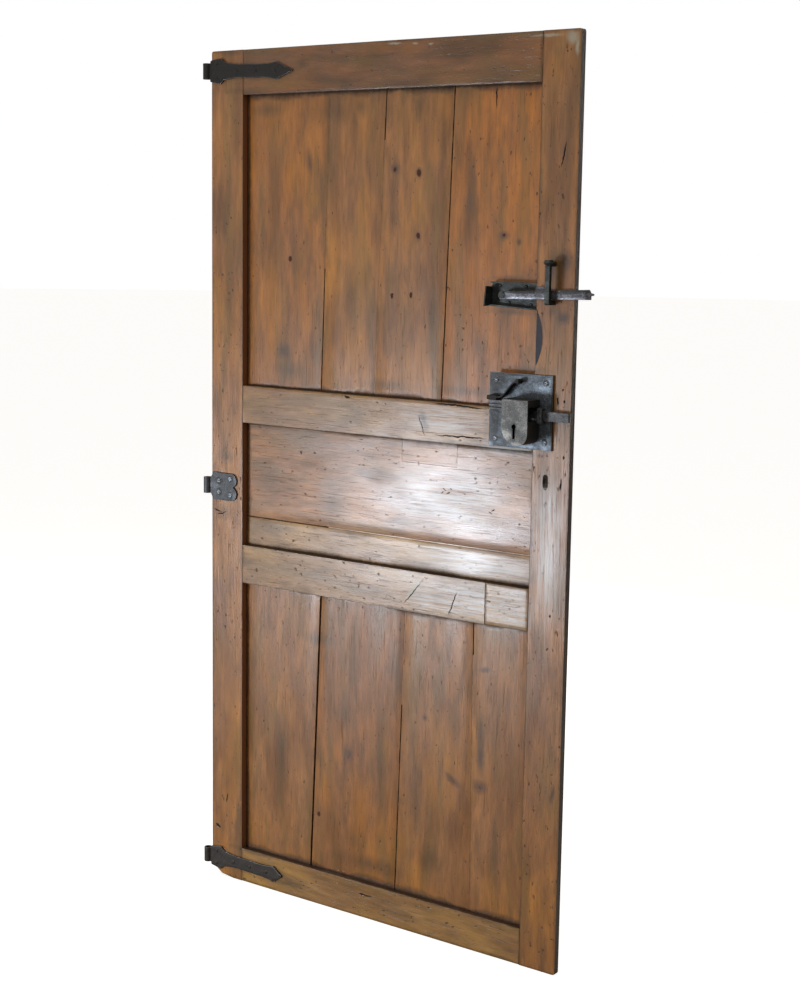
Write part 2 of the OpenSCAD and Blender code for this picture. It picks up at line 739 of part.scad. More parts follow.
// Leaf spring on edge: an eye at the top, an S curve down, and a pad on the bolt's tail
module lock_spring() on_leaf() color("black") {
    n = 16;
    drop = spring_top[1] - spring_low_z;
    run = spring_top[0] - spring_tip_x;
    bend = 0.62;
    line = [for (i = [0:n])
        let (t = i / n, s = min(1, t / bend))
        [spring_top[0] - run * t, spring_low_z + drop * (1 + cos(180 * s)) / 2]];
    difference() {
        upright(-lock_plate_t - spring_w, spring_w) {
            polygon(concat([for (p = line) [p[0], p[1] + spring_t * 0.7]],
                           [for (i = [n:-1:0]) [line[i][0], line[i][1] - spring_t * 0.7]]));
            translate(spring_top) circle(spring_rivet_r + spring_t);
            translate([spring_tip_x, bolt_tail_z + bolt_h + play])
                square([22, spring_low_z - bolt_tail_z - bolt_h + spring_t - play]);
        }
        rod(spring_top, -lock_plate_t - spring_w - over, spring_w + 2 * over,
            spring_rivet_r + snug);
    }
}

module spring_rivet() on_leaf() color("gray") {
    rod(spring_top, -lock_plate_t - spring_w - 1.5, spring_w + lock_plate_t + 1,
        spring_rivet_r);
    rod(spring_top, -lock_plate_t - spring_w - 1.5, 1.5, spring_rivet_r + 1.8);
}

// Part of a ring standing on the plate, which only a key with a matching cut passes
module key_ward() on_leaf() color("rosybrown")
    upright(-lock_plate_t - 16, 16)
        intersection() {
            translate([keyhole_x, keyhole_z]) difference() {
                circle(17);
                circle(14.5);
            }
            translate([keyhole_x, keyhole_z - 16]) square([30, 23]);
        }

// ---------------------------------------------------------------- the part

hinge_stile();
lock_stile();
top_rail();
upper_lock_rail();
lower_lock_rail();
lock_rail_splice();
bottom_rail();
upper_board(0);  // upper_board_1
upper_board(1);  // upper_board_2
upper_board(2);  // upper_board_3
upper_board(3);  // upper_board_4
middle_board_high();
middle_board_low();
panel_patch();
lower_board(0);  // lower_board_1
lower_board(1);  // lower_board_2
lower_board(2);  // lower_board_3
lower_board(3);  // lower_board_4
top_hinge_strap();
top_hinge_nails();
middle_hinge_plate();
middle_hinge_screws();
bottom_hinge_strap();
bottom_hinge_nails();
latch_tray();
latch_tray_nails();
latch_rivet();
latch_bar();
latch_staple();
lock_plate();
lock_screws();
lock_case();
lock_bolt();
bolt_guide();
lock_spring();
spring_rivet();
key_ward();
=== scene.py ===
# %% [markdown]
# # An old framed door leaf, finished in wax and forged iron
#
# The leaf is a pine frame of two stiles and four rails. Loose boards sit in its grooves, and the
# hinges, the lifting latch and the rim lock are all iron. The measured solids come from the
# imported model. This file gives each of them the worn surface that years of use leave.
#
# Every length on the leaf is in millimetres: X from the hinge edge, Z up from the bottom. One
# function turns them into the metres of the shared frame. The camera and lights are in metres.

# %% Load the measured door
import json
import math
import random

import bmesh
import bpy
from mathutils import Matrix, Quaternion, Vector


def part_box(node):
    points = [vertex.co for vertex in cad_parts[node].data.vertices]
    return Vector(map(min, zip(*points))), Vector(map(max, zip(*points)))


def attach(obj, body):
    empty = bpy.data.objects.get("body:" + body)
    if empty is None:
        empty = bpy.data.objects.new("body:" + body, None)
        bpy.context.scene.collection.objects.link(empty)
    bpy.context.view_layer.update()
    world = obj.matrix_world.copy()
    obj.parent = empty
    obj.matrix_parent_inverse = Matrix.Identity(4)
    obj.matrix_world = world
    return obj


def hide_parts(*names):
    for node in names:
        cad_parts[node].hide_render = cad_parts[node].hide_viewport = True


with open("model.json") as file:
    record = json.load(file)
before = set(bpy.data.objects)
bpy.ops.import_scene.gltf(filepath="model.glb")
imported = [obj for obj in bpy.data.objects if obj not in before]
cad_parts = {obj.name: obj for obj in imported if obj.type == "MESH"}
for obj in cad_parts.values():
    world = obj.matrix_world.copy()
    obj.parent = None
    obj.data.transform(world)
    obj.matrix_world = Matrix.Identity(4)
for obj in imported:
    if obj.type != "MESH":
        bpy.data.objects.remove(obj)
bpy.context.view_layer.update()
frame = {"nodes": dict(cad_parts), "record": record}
MM = 0.001
LEAF_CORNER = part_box("hinge_stile")[0]
LEAF_FRONT = LEAF_CORNER.y
# how far the panels' boards stand back from the front of the frame, in millimetres
PANEL_DEPTH = round((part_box("upper_board_1")[0].y - LEAF_FRONT) / MM, 1)


def on_leaf(x, z, depth=0.0):
    """A point of the frame, in metres, from millimetres across, up and into the leaf."""
    return LEAF_CORNER + Vector((x, depth, z)) * MM


# %% [markdown]
# ## The camera
#
# The view is from the latch side and slightly above the middle, with a fairly long lens, so the
# stiles stay nearly parallel. A camera could be tied to a target, but here it is turned once,
# from the direction of view and a small roll, because a fixed turn is easy to repeat.

# %% Camera
CAMERA_PLACE = Vector((2.7283, -2.9582, 1.4867))
CAMERA_TARGET = Vector((0.5481, 0.0025, 0.9236))
CAMERA_ROLL = math.radians(0.877)

camera_data = bpy.data.cameras.new("camera")
camera_data.lens = 63.22
camera_data.sensor_width = 36.0
camera = bpy.data.objects.new("camera", camera_data)
bpy.context.scene.collection.objects.link(camera)
camera.location = CAMERA_PLACE
camera.rotation_mode = "QUATERNION"
camera.rotation_quaternion = (CAMERA_TARGET - CAMERA_PLACE).to_track_quat("-Z", "Y") @ Quaternion(
    (0.0, 0.0, 1.0), CAMERA_ROLL
)
bpy.context.scene.camera = camera
print("camera distance", round((CAMERA_TARGET - CAMERA_PLACE).length, 3), "m")

# %% [markdown]
# ## Colours and nodes
#
# Colours are written as they look on a screen, as hex values. The shader works in linear light,
# so one function converts them. A second function adds any node, sets what it is given, and
# links what is a socket. A finish is then built up as a painter builds it, one thin layer over
# the last, which keeps the recipes further down short enough to read.

# %% Colour and node helpers
def linear(hex_colour):
    """An sRGB hex colour as linear RGBA."""
    parts = [int(hex_colour[i : i + 2], 16) / 255 for i in (1, 3, 5)]
    return [p / 12.92 if p <= 0.04045 else ((p + 0.055) / 1.055) ** 2.4 for p in parts] + [1.0]


def add_node(tree, kind, inputs=None, **settings):
    """Adds a shader node; an input that is a socket is linked, and any other is set."""
    node = tree.nodes.new("ShaderNode" + kind)
    for key, value in settings.items():
        setattr(node, key, value)
    by_identifier = {socket.identifier: socket for socket in node.inputs}
    for key, value in (inputs or {}).items():
        socket = by_identifier.get(key) or node.inputs[key]
        if isinstance(value, bpy.types.NodeSocket):
            tree.links.new(value, socket)
        else:
            socket.default_value = value
    return node


def empty_material(name):
    """A new material and its node tree, with nothing in it yet."""
    material = bpy.data.materials.new(name)
    material.use_nodes = True
    material.node_tree.nodes.clear()
    return material, material.node_tree


# %% Layers of a finish
def lay_over(tree, under, hex_colour, value, low, high, start, end):
    """Lays a colour over another; its share goes from start to end as a value goes low to high."""
    share = add_node(tree, "MapRange", {"Value": value, "From Min": low, "From Max": high,
                                        "To Min": start, "To Max": end}).outputs[0]
    laid = add_node(tree, "Mix", {"Factor_Float": share, "A_Color": under,
                                  "B_Color": linear(hex_colour)}, data_type="RGBA").outputs[2]
    return laid, share


def face_on(tree):
    """1 where the surface faces the front or the back of the leaf, and 0 on its narrow sides."""
    normal = add_node(tree, "TexCoord").outputs["Normal"]
    facing = add_node(tree, "SeparateXYZ", {"Vector": normal}).outputs["Y"]
    return add_node(tree, "Math", {0: facing}, operation="ABSOLUTE").outputs[0]


# %% [markdown]
# ## Floor and light
#
# The door stands on a wide pale floor under a white studio sky. Two soft boxes low on the hinge
# side sit where the waxed panels mirror them to the camera, which gives the broad bloom that runs
# down across the middle of the door. The sky is dimmer for the door than it looks, so the iron
# stays dark.

# %% Floor, sky and lights
bpy.ops.object.select_all(action="DESELECT")
bpy.ops.mesh.primitive_circle_add(
    vertices=96, radius=40.0, fill_type="NGON", location=(0.5, 0.0, LEAF_CORNER.z)
)
floor = bpy.context.object
floor.name = "studio_floor"
bpy.ops.object.transform_apply(location=True, rotation=True, scale=True)
floor_paint, paint = empty_material("pale_studio_paint")
ray = add_node(paint, "LightPath")
# the paint looks lit from above, but throws little light up at the door
lift = add_node(paint, "Math", {0: ray.outputs["Is Camera Ray"], 1: 0.78}, operation="MULTIPLY")
matt = add_node(paint, "BsdfPrincipled", {
    "Base Color": linear("#B4B3B0"), "Roughness": 0.9, "Specular IOR Level": 0.0,
    "Emission Color": linear("#FFFFFF"), "Emission Strength": lift.outputs[0]})
add_node(paint, "OutputMaterial", {"Surface": matt.outputs[0]})
floor.data.materials.append(floor_paint)

bpy.context.scene.view_settings.view_transform = "Standard"
world = bpy.data.worlds.new("studio_sky")
bpy.context.scene.world = world
world.use_nodes = True
sky = world.node_tree
sky.nodes.clear()
# brighter towards the window side, darker towards the latch side
heading = add_node(sky, "TexCoord").outputs["Generated"]
towards = add_node(sky, "VectorMath", {0: heading, 1: (-0.72, -0.66, -0.2)}, operation="DOT_PRODUCT")
glow = add_node(sky, "MapRange", {"Value": towards.outputs["Value"], "From Min": -0.7,
                                  "From Max": 0.9, "To Min": 0.22, "To Max": 0.86})
seen_sky = add_node(sky, "Background", {"Color": linear("#FFFFFF"), "Strength": 1.0})
lit_sky = add_node(sky, "Background", {"Color": linear("#FFF6EE"), "Strength": glow.outputs[0]})
ray = add_node(sky, "LightPath")
sky_mix = add_node(sky, "MixShader", {"Fac": ray.outputs["Is Camera Ray"]})
sky.links.new(lit_sky.outputs[0], sky_mix.inputs[1])
sky.links.new(seen_sky.outputs[0], sky_mix.inputs[2])
add_node(sky, "OutputWorld", {"Surface": sky_mix.outputs[0]})

# name, place, aim, width, height, watts, colour; all lengths in metres
SOFT_BOXES = [
    ("window", (-1.17, -2.46, 0.46), (0.60, 0.02, 0.92), 0.46, 0.46, 38.0, (0.84, 0.91, 1.0)),
    ("side_pane", (-0.86, -2.46, 0.28), (0.77, 0.02, 0.83), 0.28, 0.38, 14.0, (0.84, 0.91, 1.0)),
    ("overhead", (0.5, -1.0, 4.2), (0.5, 0.2, 0.0), 4.0, 4.0, 56.0, (1.0, 0.97, 0.92)),
    ("behind", (0.5, 3.2, 1.8), (0.5, 0.0, 0.9), 2.5, 2.5, 70.0, (1.0, 0.97, 0.93)),
]
for name, place, aim, width, height, watts, glow_colour in SOFT_BOXES:
    box_light = bpy.data.lights.new(name, "AREA")
    box_light.shape = "RECTANGLE"
    box_light.size, box_light.size_y = width, height
    box_light.energy = watts
    box_light.color = glow_colour
    light = bpy.data.objects.new(name, box_light)
    bpy.context.scene.collection.objects.link(light)
    light.location = place
    light.rotation_mode = "QUATERNION"
    light.rotation_quaternion = (Vector(aim) - Vector(place)).to_track_quat("-Z", "Y")
    light.visible_camera = False
print("lights", [s[0] for s in SOFT_BOXES])

# %% [markdown]
# ## Marks in the wood
#
# Knots, cracks and stains are what make one board different from the next. So are the soft dark
# patches round them and bleached places. Some of the dark ones are painted shade: round the iron,
# along the panels' edges and down the top of the lock stile. A pale painted reflection of the
# window lies across the middle of the door. All of these could be painted on an image, but a
# door this size would need a very large one. Here each is an ellipse on the face of the leaf,
# which stays sharp at any size: its middle, its half width, its half height and its turn in
# degrees. A crack is only a very thin ellipse. A material takes the ones on its own piece.

# %% Knots, the dark patches round them, and painted shadow round the staple
# every row of these tables: x, z, half width, half height, turn
KNOTS = [
    (561, 1632, 7, 9, 0), (561, 1504, 6, 8, 0), (545, 1382, 5, 7, 0), (496, 1378, 4, 7, 0),
    (216, 1449, 6, 8, 0), (499, 1640, 4, 6, 5), (773, 1508, 3, 4, 0), (310, 205, 5, 8, 0),
]
# soft dark patches round knots and where iron or water stood; the three round the staple are
# partly its painted shadow
SMUDGES_AND_SHADOWS = [
    (499, 1641, 16, 15, 0), (270, 1656, 12, 36, -6), (773, 1507, 17, 13, 0),
    (809, 1495, 8, 10, 0), (199, 1246, 26, 24, 0), (395, 362, 16, 28, 10), (674, 359, 32, 12, 30),
    (745, 358, 26, 20, 0), (745, 417, 14, 46, 0), (751, 612, 20, 8, -10), (932, 384, 7, 24, 8),
    # the first three rows here are the staple's painted shadow, laid with its soot
    (928, 1462, 20, 24, 0), (926, 1350, 18, 16, 0), (896, 1440, 10, 30, 0), (760, 1392, 10, 34, 0),
    (600, 482, 9, 10, 0), (594, 1124, 13, 32, -22), (561, 1632, 12, 15, 0), (561, 1504, 11, 14, 0),
]
print(len(KNOTS), "knots,", len(SMUDGES_AND_SHADOWS), "smudges")

# %% Cracks, chips and nail holes
MARKS = [
    (917, 1665, 2.2, 28, 12), (748, 1778, 1.6, 24, 0), (677, 1161, 76, 2.2, 1.5),
    (895, 1023, 7, 17, 0), (686, 1097, 70, 1.8, -1), (391, 1159, 9, 2.6, 8),
    (573, 754, 1.2, 38, 40), (677, 745, 1.6, 30, 22), (590, 1112, 1.1, 26, -22),
    (640, 981, 6, 1.5, 35), (648, 975, 7, 1.3, -30), (656, 984, 4, 1.3, 10),
    (634, 974, 4, 1.2, -40), (756, 944, 6, 1.4, 30), (762, 950, 5, 1.3, -25),
    (456, 53, 24, 2.0, 0), (46, 192, 2.0, 14, 8), (18, 119, 9, 4, 30),
    (931, 1021, 2.0, 14, 0), (929, 1209, 2.6, 2.6, 0), (933, 1186, 2.4, 3.4, 0),
    (936, 1075, 2.4, 3.6, 0), (915, 753, 3.0, 3.4, 0), (859, 1008, 2.2, 3.0, 0),
    (918, 1858, 2.0, 2.4, 0), (918, 1186, 2.4, 9, 0),
    (16, 873, 14, 1.4, 12), (30, 868, 16, 1.4, -16),
]
print(len(MARKS), "marks")

# %% Stains and painted shade
STAINS_AND_SHADE = [
    # dirt that gathered in the boards, and dirt with painted shade along the panels' edges next to
    # the rails
    (787, 250, 17, 120, 0), (200, 330, 26, 150, 0), (480, 360, 20, 150, 0), (385, 450, 34, 60, 0),
    (580, 300, 26, 130, 0), (620, 170, 40, 40, 0), (300, 610, 60, 20, 0), (450, 120, 120, 26, 0),
    (330, 1760, 80, 36, 0), (405, 1770, 40, 30, 0), (150, 1770, 60, 20, 0), (325, 1660, 26, 120, 0),
    (524, 531, 24, 90, 0), (745, 470, 16, 60, 0), (480, 1760, 30, 50, 0), (390, 1740, 14, 70, 0),
    (560, 1770, 24, 40, 0), (620, 1700, 10, 90, 0),
    (384, 1366, 24, 120, 0), (444, 1283, 22, 120, 0), (600, 1330, 22, 140, 0),
    (690, 1580, 20, 140, 0), (720, 1280, 30, 50, 0), (217, 1206, 60, 26, 0), (480, 1190, 90, 18, 0),
    (150, 960, 60, 60, 0), (170, 845, 90, 24, 0), (340, 920, 60, 60, 0), (690, 1190, 120, 14, 0),
    # dirt round the ironwork, with painted shade where the iron stands proud of the wood
    (262, 1864, 20, 14, 0), (330, 1826, 70, 14, 3), (120, 1812, 110, 9, 0), (60, 1895, 60, 9, 0),
    (805, 1422, 74, 10, 0), (800, 1356, 70, 9, 0), (738, 1392, 12, 34, 0), (903, 1462, 18, 20, 0),
    (916, 1420, 8, 40, 0), (903, 1362, 16, 12, 0), (835, 1076, 84, 9, 0), (920, 1160, 9, 86, 0),
    (752, 1160, 10, 84, 0), (835, 1244, 84, 9, 0), (235, 26, 60, 9, -2), (120, 78, 90, 8, 0),
    (36, 870, 30, 24, 0), (832, 1418, 20, 40, 0), (925, 1452, 26, 34, 0),
    (925, 1352, 26, 24, 0), (44, 1000, 40, 20, 0), (903, 1110, 12, 40, 0),
    # painted shade: the first row darkens the top of the lock stile; the other two are the staple's
    # painted shadow, with dirt
    (925, 1720, 22, 260, 0), (922, 1440, 20, 40, 20), (910, 1395, 14, 20, 0),
]
print(len(STAINS_AND_SHADE), "stains")

# %% Bleached wood and painted sheen
# old white paint and bleached wood where water stood
BLEACHED = [
    (504, 1893, 22, 3, 2), (557, 1890, 10, 3, 0), (597, 1888, 9, 3, 0), (873, 1890, 44, 4, 0),
    (930, 1884, 20, 18, 30), (940, 1866, 6, 22, 0), (576, 762, 7, 40, 40), (20, 905, 30, 5, 0),
]
# painted reflection: the pale sheen of the window, laid as grey between the growth rings across
# the middle of the door
PAINTED_SHEEN = [
    (710, 757, 150, 44, 0), (825, 757, 70, 56, 0), (600, 748, 60, 36, 20), (720, 832, 190, 36, 0),
    (640, 965, 170, 80, 0), (905, 900, 44, 190, 0), (640, 1128, 120, 34, 0), (790, 1078, 90, 16, 0),
]
print(len(BLEACHED), "bleached places,", len(PAINTED_SHEEN), "places of painted sheen")


# %% Marks that lie on a piece
def marks_on(node, table):
    """The rows of a table that lie on a CAD node, seen from the front."""
    low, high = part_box(node)
    found = []
    for row in table:
        at = on_leaf(row[0], row[1])
        reach = max(row[2], row[3]) * MM
        if low.x - reach < at.x < high.x + reach and low.z - reach < at.z < high.z + reach:
            found.append(row)
    return found


# %% The part of a piece that shows
INNER_LEFT, INNER_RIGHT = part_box("hinge_stile")[1].x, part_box("lock_stile")[0].x
RAILS = [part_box(rail) for rail in ("bottom_rail", "lower_lock_rail", "upper_lock_rail", "top_rail")]


def shown_box(node, depth):
    """Low and high corner of the face whose edges get dirt and painted shade: a frame piece, or a
    whole panel.
    """
    low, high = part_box(node)
    if depth:
        middle = (low.z + high.z) / 2
        low.x, high.x = INNER_LEFT, INNER_RIGHT
        low.z = max(rail[1].z for rail in RAILS if rail[1].z < middle)
        high.z = min(rail[0].z for rail in RAILS if rail[0].z > middle)
    elif node.endswith(("rail", "splice")):
        low.x, high.x = max(low.x, INNER_LEFT), min(high.x, INNER_RIGHT)
    return low, high


# %% Pattern that turns a list of ellipses into one mask
# half the thickness of an ellipse, in millimetres, so that it doesn't show on the back
MARK_THICKNESS = 12


def ellipse_mask(tree, place, rows, depth):
    """1 in the middle of each ellipse, fading to 0 at its rim and a little way into the wood."""
    mask = None
    for x, z, half_x, half_z, turn in rows:
        local = add_node(
            tree, "Mapping",
            {"Vector": place, "Location": on_leaf(x, z, depth),
             "Rotation": (0.0, math.radians(turn), 0.0),
             "Scale": (half_x * MM, MARK_THICKNESS * MM, half_z * MM)},
            vector_type="TEXTURE",
        )
        spot = add_node(tree, "TexGradient", {"Vector": local.outputs[0]},
                        gradient_type="SPHERICAL").outputs["Fac"]
        if mask is not None:
            spot = add_node(tree, "Math", {0: mask, 1: spot}, operation="MAXIMUM").outputs[0]
        mask = spot
    return mask


# %% [markdown]
# ## Waxed pine
#
# Old pine is stained brown, worn back to orange where hands and sun reach, and grey where dirt
# sits in the wax. It could be painted by hand, but the pattern of wood is made by growth, so
# noise that is stretched along the grain gives it well: wide bands first, growth rings next, and
# fine hair lines last. Each log gets its own shift of the pattern. Over it lies a thin coat of
# wax, which mirrors a window softly where it is polished and is gone where dirt has settled.

# %% Patterns of the grain
# pattern: share of the stretch along the grain, repeats per metre, detail, roughness
GRAIN = {
    "bands": (0.20, 22.0, 3.0, 0.55),     # colour bands about 45 mm wide
    "streaks": (0.20, 60.0, 5.0, 0.65),   # darker streaks about 16 mm wide
    "rings": (0.035, 240.0, 3.0, 0.6),    # growth rings about 4 mm apart
    "hairs": (0.02, 700.0, 2.0, 0.5),     # open grain about 1.5 mm wide
    "clouds": (0.40, 9.0, 3.0, 0.55),     # orange patches about 110 mm wide
    "olive": (0.18, 26.0, 4.0, 0.6),      # greyer heartwood bands about 38 mm wide
    "dirt": (0.22, 22.0, 6.0, 0.66),      # dirt in the wax, about 45 mm wide
    "polish": (0.55, 15.0, 2.0, 0.5),     # rubbed patches about 65 mm wide
    "pits": (0.5, 150.0, 2.0, 0.5),       # dents and flecks about 6 mm wide
    "checks": (0.028, 480.0, 2.0, 0.6),   # drying cracks about 2 mm wide and 70 mm long
}


def grain_patterns(tree, place, along, shift):
    """Every pattern of the grain, stretched along its axis and shifted for this log."""
    # growth wanders by a few millimetres, so the coordinates are pushed before they are stretched
    wander = add_node(tree, "TexNoise", {"Vector": place, "Scale": 2.5, "Detail": 1.0})
    pushed = add_node(tree, "VectorMath", {0: wander.outputs["Color"], 1: (0.022, 0.0, 0.022),
                                           2: place}, operation="MULTIPLY_ADD").outputs[0]
    patterns = {}
    for pattern, (squeeze, repeats, detail, rough) in GRAIN.items():
        stretch = (1.0, 1.0, squeeze) if along == "Z" else (squeeze, 1.0, 1.0)
        space = add_node(tree, "Mapping", {"Vector": pushed, "Location": shift, "Scale": stretch})
        patterns[pattern] = add_node(
            tree, "TexNoise", {"Vector": space.outputs[0], "Scale": repeats, "Detail": detail,
                               "Roughness": rough}).outputs["Fac"]
    return patterns


# %% What each pattern is used for
# use: the pattern, its low and high value, and what they are turned into
USES = {
    "streaking": ("streaks", 0.32, 0.68, 0.84, 1.16),
    "ringing": ("rings", 0.32, 0.68, 0.93, 1.07),
    "cracked": ("checks", 0.62, 0.73, 0.0, 0.45),
    "flecked": ("pits", 0.66, 0.74, 0.0, 0.75),
    # the painted sheen lies between the rings
    "sheen between rings": ("rings", 0.40, 0.58, 0.1, 0.85),
    "spread of dirt and shade": ("clouds", 0.40, 0.62, 0.35, 1.6),
    "roughness": ("dirt", 0.3, 0.72, 0.28, 0.46),
    "wax left": ("polish", 0.38, 0.64, 0.24, 0.46),
}


def pattern_uses(tree, patterns):
    """Every use of the patterns, as a value that other nodes can take."""
    values = {}
    for use, (pattern, low, high, start, end) in USES.items():
        values[use] = add_node(tree, "MapRange", {
            "Value": patterns[pattern], "From Min": low, "From Max": high,
            "To Min": start, "To Max": end}).outputs[0]
    return values


# %% Colour of the bare wood
CRACK_HEX = "#24150C"


def wood_colour(tree, patterns, uses, tone):
    """The stained wood's colour, and a mask of its drying cracks and flecks."""
    low_tone, mid_tone, high_tone = tone
    colour, _ = lay_over(tree, linear(low_tone), mid_tone, patterns["bands"], 0.38, 0.60, 0.0, 1.0)
    colour, _ = lay_over(tree, colour, high_tone, patterns["clouds"], 0.46, 0.66, 0.0, 0.9)
    for use in ("streaking", "ringing"):
        colour = add_node(tree, "VectorMath", {0: colour, 1: uses[use]},
                          operation="MULTIPLY").outputs[0]
    colour, _ = lay_over(tree, colour, "#624C20", patterns["olive"], 0.50, 0.64, 0.0, 0.45)
    colour, _ = lay_over(tree, colour, "#4A2F13", patterns["dirt"], 0.50, 0.68, 0.0, 0.62)
    opened = add_node(tree, "Math", {0: uses["cracked"], 1: uses["flecked"]},
                      operation="MAXIMUM").outputs[0]
    colour = add_node(tree, "Mix", {"Factor_Float": opened, "A_Color": colour,
                                    "B_Color": linear(CRACK_HEX)}, data_type="RGBA").outputs[2]
    return colour, opened


# %% Marks laid on the wood
# table, its colour, its strength in the middle, and how much of the way in it grows to that
MARK_LAYERS = (
    (STAINS_AND_SHADE, "#3B2B15", 0.60, 1.0),
    (SMUDGES_AND_SHADOWS, "#32211A", 0.72, 0.8),
    (BLEACHED, "#8C8674", 0.8, 0.7),
    (KNOTS, "#3F2114", 0.95, 0.3),
    (MARKS, "#120C08", 1.0, 0.3),
)


def lay_marks(tree, node, colour, opened, ragged, uses, depth):
    """Lays the painted sheen and every mark of this piece over the wood; cracks and knots open it."""
    # painted reflection: the window's pale sheen, laid as grey between the rings
    rows = marks_on(node, PAINTED_SHEEN)
    if rows:
        painted_sheen = ellipse_mask(tree, ragged, rows, depth)
        painted_sheen = add_node(tree, "MapRange", {"Value": painted_sheen, "From Max": 0.6}).outputs[0]
        painted_sheen = add_node(tree, "Math", {0: painted_sheen, 1: uses["sheen between rings"]},
                           operation="MULTIPLY").outputs[0]
        colour = add_node(tree, "Mix", {"Factor_Float": painted_sheen, "A_Color": colour,
                                        "B_Color": linear("#A39D9A")}, data_type="RGBA").outputs[2]
    for table, hex_colour, strength, fade in MARK_LAYERS:
        rows = marks_on(node, table)
        if not rows:
            continue
        mask = ellipse_mask(tree, ragged, rows, depth)
        colour, share = lay_over(tree, colour, hex_colour, mask, 0.0, fade, 0.0, strength)
        if table in (MARKS, KNOTS):
            opened = add_node(tree, "Math", {0: share, 1: opened}, operation="MAXIMUM").outputs[0]
    return colour, opened


# %% Grime and painted shade along the edges
def lay_dirt_and_shade(tree, node, colour, opened, ragged, uses, depth):
    """Lays black dirt and painted shade along the edges, widest in the corners of the panels under
    the frame.
    """
    low, high = shown_box(node, depth)
    from_middle = add_node(tree, "VectorMath", {0: ragged, 1: (low + high) / 2},
                           operation="SUBTRACT").outputs[0]
    from_middle = add_node(tree, "VectorMath", {0: from_middle}, operation="ABSOLUTE").outputs[0]
    inside = add_node(tree, "VectorMath", {0: (high - low) / 2, 1: from_middle},
                      operation="SUBTRACT").outputs[0]
    inside = add_node(tree, "SeparateXYZ", {"Vector": inside})
    nearest = add_node(tree, "Math", {0: inside.outputs["X"], 1: inside.outputs["Z"]},
                       operation="MINIMUM").outputs[0]
    nearest = add_node(tree, "Math", {0: nearest, 1: uses["spread of dirt and shade"]},
                       operation="DIVIDE").outputs[0]
    # painted shade: the edges darken where the frame shades them, along with their dirt
    width, strength = (12, 0.85) if depth else (5, 0.42)
    colour, dirt_and_shade = lay_over(tree, colour, "#1C130C", nearest, 1 * MM, width * MM, strength, 0.0)
    opened = add_node(tree, "Math", {0: dirt_and_shade, 1: opened}, operation="MAXIMUM").outputs[0]
    return colour, opened


# %% Pine material
# painted shade on the narrow sides: the reveals, the rails' tops and the leaf's edges are darkened
# for their shade, together with the old stain that no hand polishes; the two stiles differ
SIDE_SHADE_HEX = {"lock_stile": "#21180F", "hinge_stile": "#74462A"}
OTHER_SIDE_SHADE_HEX = "#2E1B0E"
# rings stand out less on the level pieces, which hands and rags have rubbed smoother
RING_RELIEF = {"Z": 1.3, "X": 0.7}


def waxed_pine(node, along, tone, shift, depth):
    """Waxed pine for one piece; along is the grain's axis and tone three hex colours."""
    material, tree = empty_material("waxed_pine_" + node)
    place = add_node(tree, "TexCoord").outputs["Object"]
    patterns = grain_patterns(tree, place, along, shift)
    uses = pattern_uses(tree, patterns)
    # the rims of marks wander by up to 3 mm, so that no ellipse shows as one
    wobble = add_node(tree, "TexNoise", {"Vector": place, "Scale": 90.0, "Detail": 2.0})
    ragged = add_node(tree, "VectorMath", {0: wobble.outputs["Color"], 1: (0.006, 0.0, 0.006),
                                           2: place}, operation="MULTIPLY_ADD").outputs[0]
    ragged = add_node(tree, "VectorMath", {0: ragged, 1: (0.003, 0.0, 0.003)},
                      operation="SUBTRACT").outputs[0]
    colour, opened = wood_colour(tree, patterns, uses, tone)
    colour, opened = lay_marks(tree, node, colour, opened, ragged, uses, depth)
    colour, opened = lay_dirt_and_shade(tree, node, colour, opened, ragged, uses, depth)
    # painted shade: the narrow sides are darkened, with their old stain
    side_shade_hex = SIDE_SHADE_HEX.get(node, OTHER_SIDE_SHADE_HEX)
    colour, _ = lay_over(tree, colour, side_shade_hex, face_on(tree), 0.35, 0.8, 0.88, 0.0)

    height = add_node(tree, "Math", {0: patterns["rings"], 1: RING_RELIEF[along],
                                     2: patterns["hairs"]}, operation="MULTIPLY_ADD").outputs[0]
    height = add_node(tree, "Math", {0: opened, 1: -1.6, 2: height},
                      operation="MULTIPLY_ADD").outputs[0]
    bump = add_node(tree, "Bump", {"Height": height, "Strength": 0.6,
                                   "Distance": 0.5 * MM}).outputs[0]
    # the wax is a smooth coat, so it mirrors the window more sharply than the wood under it,
    # and it is gone where dirt has settled and inside the cracks
    closed = add_node(tree, "Math", {0: 1.0, 1: opened}, operation="SUBTRACT").outputs[0]
    wax = add_node(tree, "Math", {0: uses["wax left"], 1: closed}, operation="MULTIPLY").outputs[0]
    rough = add_node(tree, "Math", {0: uses["roughness"], 1: opened},
                     operation="MAXIMUM").outputs[0]
    shader = add_node(tree, "BsdfPrincipled", {
        "Base Color": colour, "Roughness": rough, "Normal": bump, "IOR": 1.44,
        "Coat Weight": wax, "Coat Roughness": 0.2, "Coat IOR": 1.45})
    add_node(tree, "OutputMaterial", {"Surface": shader.outputs[0]})
    return material


# %% [markdown]
# ## Worn pieces from the measured solids
#
# Modelling the boards again could lose the exact joints. A copy of each measured solid keeps
# them. The copy's loose triangles are merged, its long corners get a small bevel, and slices
# give it enough points to follow a gentle noise, as a hand plane and a century of handling leave.

# %% Select and merge helpers
def select_only(piece):
    bpy.ops.object.select_all(action="DESELECT")
    piece.select_set(True)
    bpy.context.view_layer.objects.active = piece


